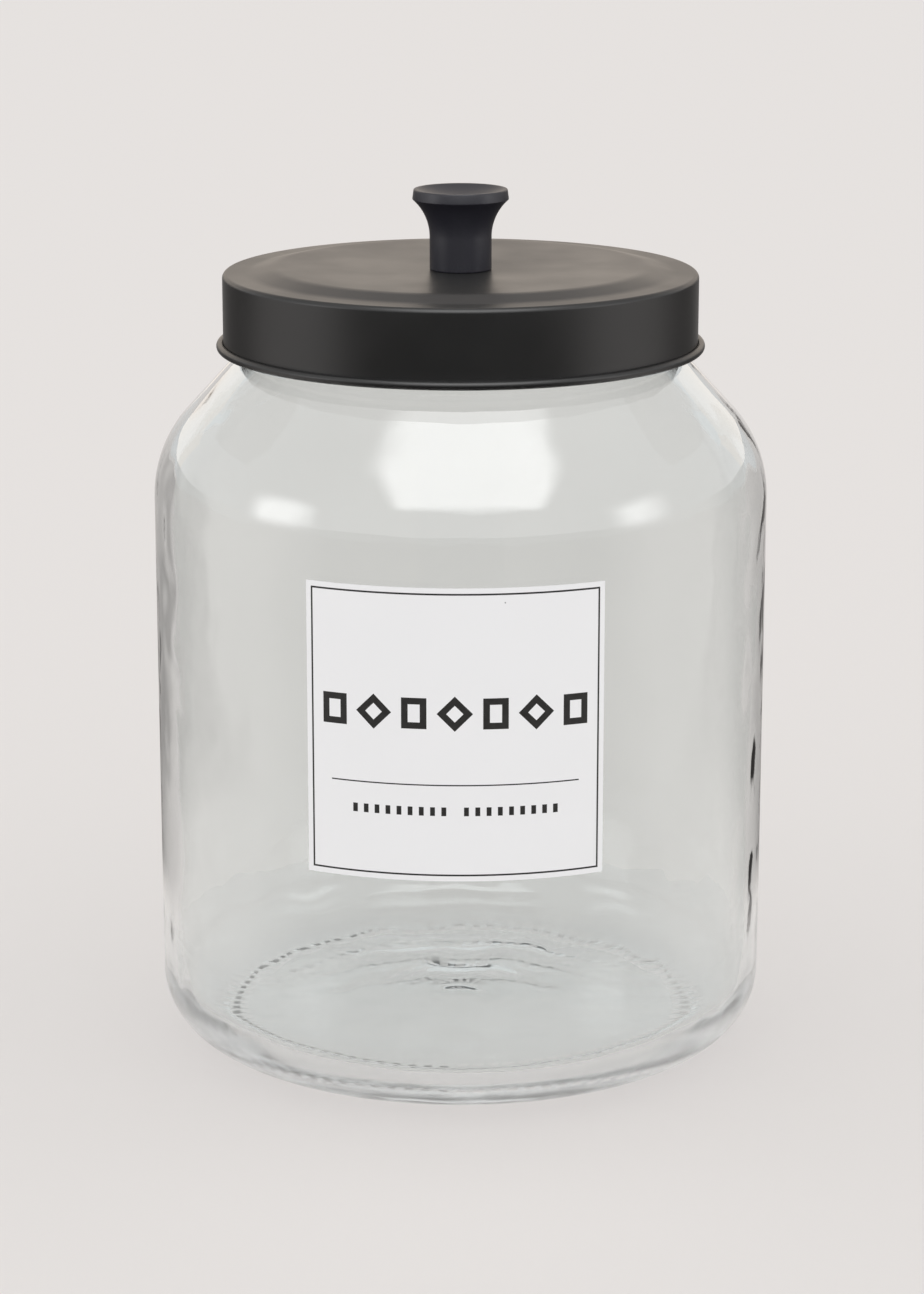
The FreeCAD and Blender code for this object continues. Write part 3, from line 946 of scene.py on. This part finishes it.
class JAR_OT_lid(bpy.types.Operator):
    """Presses the lid: raised panel, soft step, flat border, skirt and an edge rolled outwards"""

    bl_idname = "storage_jar.lid"
    bl_label = "Lid"

    def execute(self, context):
        sizes = context.scene.jar_lid
        panel = LID_SEAT + sizes.dish
        top = panel - sizes.rise
        outer, inner = sizes.radius, sizes.radius - sizes.sheet
        step_outer = outer - sizes.border
        step_inner = step_outer - sizes.step
        curl_outer = sizes.curl + sizes.sheet
        curl_centre = (outer + sizes.curl, LID_FOOT + curl_outer)
        over = rounded(
            [
                (LID_HOLE, LID_SEAT),
                (sizes.seat_radius, LID_SEAT),
                (step_inner, panel, sizes.step_round),
                (step_outer, top, sizes.step_round),
                (outer, top, sizes.corner),
                (outer, curl_centre[1]),
                (inner, curl_centre[1]),
                (inner, top - sizes.sheet, sizes.corner - sizes.sheet),
                (step_outer, top - sizes.sheet, sizes.step_round),
                (step_inner, panel - sizes.sheet, sizes.step_round),
                (sizes.seat_radius, LID_SEAT - sizes.sheet),
                (LID_HOLE, LID_SEAT - sizes.sheet),
            ],
            step=2.5,
            run=4.0,
        )
        edge = next(k for k, point in enumerate(over) if math.dist(point, (outer, curl_centre[1])) < 0.01)
        roll_in = arc(curl_centre, sizes.curl, 180, 475, 15)
        roll_out = arc(curl_centre, curl_outer, 475, 180, 15)
        outline = over[:edge] + roll_in + roll_out + over[edge + 2:]
        lid = turn_piece("lid_shell_pressed", outline, 256)
        for reach, weight in WAVY_RADII:
            group_vertices(lid, "panel", lambda r, a, z: r < reach, weight)
        soft_waves(lid, "panel", sizes.dent, 34.0, "Z")
        tone = tuple(context.scene.jar_finishes.lid_paint)
        paint = paint_finish("satin black paint", tone, 0.36, 0.05)
        finish_piece(lid, paint, 35, "lid", "lid_paint", "lid_shell")
        return {"FINISHED"}


class JAR_OT_knob(bpy.types.Operator):
    """Turns the knob: a dished top with a narrow band over a hollow flare and a straight stem"""

    bl_idname = "storage_jar.knob"
    bl_label = "Knob"

    def execute(self, context):
        sizes = context.scene.jar_knob
        dish = sizes.rim_radius - sizes.land
        dish_radius = (dish**2 + sizes.dish_depth**2) / (2 * sizes.dish_depth)
        dish_half = math.degrees(math.asin(dish / dish_radius))
        dish_centre = (0.0, KNOB_TOP - sizes.dish_depth + dish_radius)
        band_foot = KNOB_TOP - sizes.band_height
        reach = sizes.band_radius - sizes.stem_radius
        flare_angle = math.degrees(math.acos(1 - reach / sizes.flare_radius))
        flare_foot = band_foot - sizes.flare_radius * math.sin(math.radians(flare_angle))
        flare_centre = (sizes.stem_radius + sizes.flare_radius, flare_foot)
        flare = arc(flare_centre, sizes.flare_radius, 180, 180 - flare_angle, 3)
        tap, edge = TAP_RADIUS, KNOB_EDGE_ROUND
        tap_end = LID_SEAT - SCREW_DROP + SCREW_LENGTH + TAP_SPARE
        outline = rounded([(tap, LID_SEAT), (sizes.stem_radius, LID_SEAT, edge), flare[0]], 15)[:-1]
        outline += flare[:-1]
        shoulder = [flare[-2], (sizes.band_radius, band_foot, edge), (sizes.rim_radius, KNOB_TOP, edge)]
        shoulder += [(dish, KNOB_TOP, edge), (dish - 1.0, KNOB_TOP - edge)]
        outline += rounded(shoulder, 15)[1:-1]
        bowl = arc(dish_centre, dish_radius, 270 + dish_half * 0.93, 270, 2)
        outline += [*bowl[:-1], (0.0, KNOB_TOP - sizes.dish_depth), (0.0, tap_end), (tap, tap_end)]
        knob = turn_piece("lid_knob_turned", outline, 128)
        tone = tuple(context.scene.jar_finishes.knob_paint)
        paint = paint_finish("matt blue-black paint", tone, 0.42, 0.03)
        finish_piece(knob, paint, 35, "lid", "knob_paint", "knob")
        return {"FINISHED"}


class JAR_OT_fittings(bpy.types.Operator):
    """Gives the seal ring, the washer and the screw their finishes"""

    bl_idname = "storage_jar.fittings"
    bl_label = "Seal and fixings"

    def execute(self, context):
        finishes = {
            "lid_seal_ring": silicone_finish(),
            "knob_washer": zinc_finish(),
            "knob_screw": zinc_finish(),
        }
        for node, material in finishes.items():
            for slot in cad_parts[node].material_slots:
                slot.material = material
        return {"FINISHED"}


# ------------------------------------------------------------------ stage
class JAR_OT_stage(bpy.types.Operator):
    """Lays the pale floor and sets the soft lights, the surroundings and the camera"""

    bl_idname = "storage_jar.stage"
    bl_label = "Stage"

    def execute(self, context):
        self.lay_floor()
        self.surroundings(context.scene)
        self.soft_box("front_top_box", (0.04, -0.60, 0.98), (1.16, 1.0), 3.2, 0.14)
        self.soft_box("left_box", (-1.25, -0.45, 0.47), (0.75, 0.62), 3.1, 0.40)
        self.soft_box("right_box", (1.25, -0.45, 0.47), (0.75, 0.62), 2.6, 0.40)
        in_gloss = card_finish("for gloss", GLOSS_CARD, near=0.155, far=0.22)
        through_glass = card_finish("through glass", GLASS_CARD, near=0.22, far=0.36, right=0.3)
        self.ring_card("gloss_card", [(160, 1.0), (3500, 1.0), (3500, 500)], in_gloss, True)
        self.ring_card("glass_card", [(160, 1.6), (3500, 1.6)], through_glass, False)
        self.back_and_top_cards()
        self.camera(context.scene)
        context.scene.view_settings.view_transform = "Standard"
        self.light_paths(context.scene)
        return {"FINISHED"}

    def light_paths(self, scene):
        """Lets light turn often enough inside the thick glass."""
        scene.cycles.max_bounces = 28
        scene.cycles.glossy_bounces = 20
        scene.cycles.transmission_bounces = 24
        scene.cycles.transparent_max_bounces = 16

    def lay_floor(self):
        clear_selection()
        bpy.ops.mesh.primitive_plane_add(size=12.0, location=(0, 0, 0))
        floor = bpy.context.object
        floor.name = "floor"
        edit_all()
        bpy.ops.mesh.extrude_region_move(TRANSFORM_OT_translate={"value": (0, 0, -0.02)})
        face_outwards()
        floor.data.materials.append(floor_finish())

    def surroundings(self, scene):
        """An even pale room, a little darker in front of the jar."""
        world = bpy.data.worlds.new("pale room")
        scene.world = world
        world.use_nodes = True
        tree = world.node_tree
        tree.nodes.clear()
        place = add_node(tree, "ShaderNodeTexCoord")
        split = add_node(tree, "ShaderNodeSeparateXYZ")
        depth = add_node(tree, "ShaderNodeMapRange")
        set_inputs(depth, From_Min=-1.0, From_Max=1.0, To_Min=1.22, To_Max=0.80)
        background = add_node(tree, "ShaderNodeBackground")
        output = add_node(tree, "ShaderNodeOutputWorld")
        link(tree, place, "Generated", split, "Vector")
        link(tree, split, "Y", depth, "Value")
        background.inputs["Color"].default_value = (0.99, 1.0, 1.005, 1.0)
        link(tree, depth, "Result", background, "Strength")
        link(tree, background, "Background", output, "Surface")

    def soft_box(self, name, place, sides, radiance, softness):
        """A rectangular light with soft edges that faces the top of the jar and only shows in its gloss."""
        aim = Vector((0, 0, 0.19)) - Vector(place)
        turn = aim.to_track_quat("-Z", "Y").to_euler()
        bpy.ops.object.light_add(type="AREA", location=place, rotation=turn)
        box = bpy.context.object
        box.name = name
        box.data.shape = "RECTANGLE"
        box.data.size, box.data.size_y = sides
        box.data.energy = radiance * math.pi * sides[0] * sides[1]
        box.visible_diffuse = False
        box.visible_camera = False
        box.data.use_nodes = True
        tree = box.data.node_tree
        emission = tree.nodes["Emission"]
        face = add_node(tree, "ShaderNodeNewGeometry")
        split = add_node(tree, "ShaderNodeSeparateXYZ")
        both = add_node(tree, "ShaderNodeMath", operation="MULTIPLY")
        link(tree, face, "Parametric", split, "Vector")
        for axis, side in enumerate("XY"):
            offset = add_node(tree, "ShaderNodeMath", operation="SUBTRACT")
            offset.inputs[1].default_value = 0.5
            away = add_node(tree, "ShaderNodeMath", operation="ABSOLUTE")
            fade = add_node(tree, "ShaderNodeMapRange", interpolation_type="SMOOTHSTEP")
            set_inputs(fade, From_Min=0.5 - softness, From_Max=0.5, To_Min=1.0, To_Max=0.0)
            link(tree, split, side, offset, 0)
            link(tree, offset, "Value", away, 0)
            link(tree, away, "Value", fade, "Value")
            link(tree, fade, "Result", both, axis)
        link(tree, both, "Value", emission, "Strength")

    def ring_card(self, name, outline, material, in_gloss):
        """A broad ring laid round the jar that only shows in gloss, or only through the glass."""
        card = turn_piece(name, outline, 72, closed=False)
        card.data.materials.append(material)
        self.show_only(card, in_gloss)

    def back_and_top_cards(self):
        """A warm sheet far behind the jar and a darker one above that, which only show in gloss."""
        sheets = (
            ("gloss_top_card", (4.0, 2.1, 1.0), (0, 1.45, 1.4), (0, 0, 0.02), TOP_CARD, PAPER),
            ("gloss_back_card", (7.0, 0.02, 1.0), (0, 3.4, 0.0), (0, 0, 1.75), BACK_CARD, WARM_WALL),
        )
        for name, sides, place, rise, tones, light in sheets:
            clear_selection()
            bpy.ops.mesh.primitive_plane_add(size=1.0)
            card = bpy.context.object
            card.name = name
            edit_all()
            bpy.ops.transform.resize(value=sides)
            bpy.ops.transform.translate(value=place)
            bpy.ops.mesh.extrude_region_move(TRANSFORM_OT_translate={"value": rise})
            bpy.ops.object.mode_set(mode="OBJECT")
            card.data.materials.append(card_finish(name, tones, light))
            self.show_only(card, True)

    def show_only(self, card, in_gloss):
        """Hides a card from the camera and from soft light, and shows it in gloss or through the glass."""
        card.visible_camera = False
        card.visible_diffuse = False
        card.visible_shadow = False
        card.visible_glossy = in_gloss
        card.visible_transmission = not in_gloss

    def camera(self, scene):
        bpy.ops.object.camera_add(location=(0.0004, -1.037, 0.386), rotation=(math.radians(75.5), 0, 0))
        camera = bpy.context.object
        camera.name = "camera"
        camera.data.sensor_fit = "VERTICAL"
        camera.data.sensor_height = 36.0
        camera.data.lens = 99.88
        camera.data.dof.use_dof = False
        scene.camera = camera


# ------------------------------------------------------------------ panel and registration
class JAR_PT_panel(bpy.types.Panel):
    """The jar's pieces and sizes"""

    bl_idname = "JAR_PT_panel"
    bl_label = "Storage Jar"
    bl_space_type = "VIEW_3D"
    bl_region_type = "UI"
    bl_category = "Storage Jar"

    def draw(self, context):
        for maker in MAKERS:
            self.layout.operator(maker.bl_idname)
        for name, sizes in SETTINGS.items():
            box = self.layout.box()
            box.label(text=name.replace("_", " ").capitalize())
            for key in sizes.__annotations__:
                box.prop(getattr(context.scene, name), key)


MAKERS = (JAR_OT_stage, JAR_OT_glass, JAR_OT_label, JAR_OT_lid, JAR_OT_knob, JAR_OT_fittings)
SETTINGS = {
    "jar_glass": GlassSizes,
    "jar_label": LabelSizes,
    "jar_lid": LidSizes,
    "jar_knob": KnobSizes,
    "jar_finishes": Finishes,
}
CLASSES = (*SETTINGS.values(), *MAKERS, JAR_PT_panel)


def register():
    for item in CLASSES:
        bpy.utils.register_class(item)
    for name, sizes in SETTINGS.items():
        setattr(bpy.types.Scene, name, PointerProperty(type=sizes))


def unregister():
    for name in SETTINGS:
        delattr(bpy.types.Scene, name)
    for item in reversed(CLASSES):
        bpy.utils.unregister_class(item)


def main():
    register()
    for maker in MAKERS:
        family, name = maker.bl_idname.split(".")
        getattr(getattr(bpy.ops, family), name)()


if __name__ == "__main__":
    main()
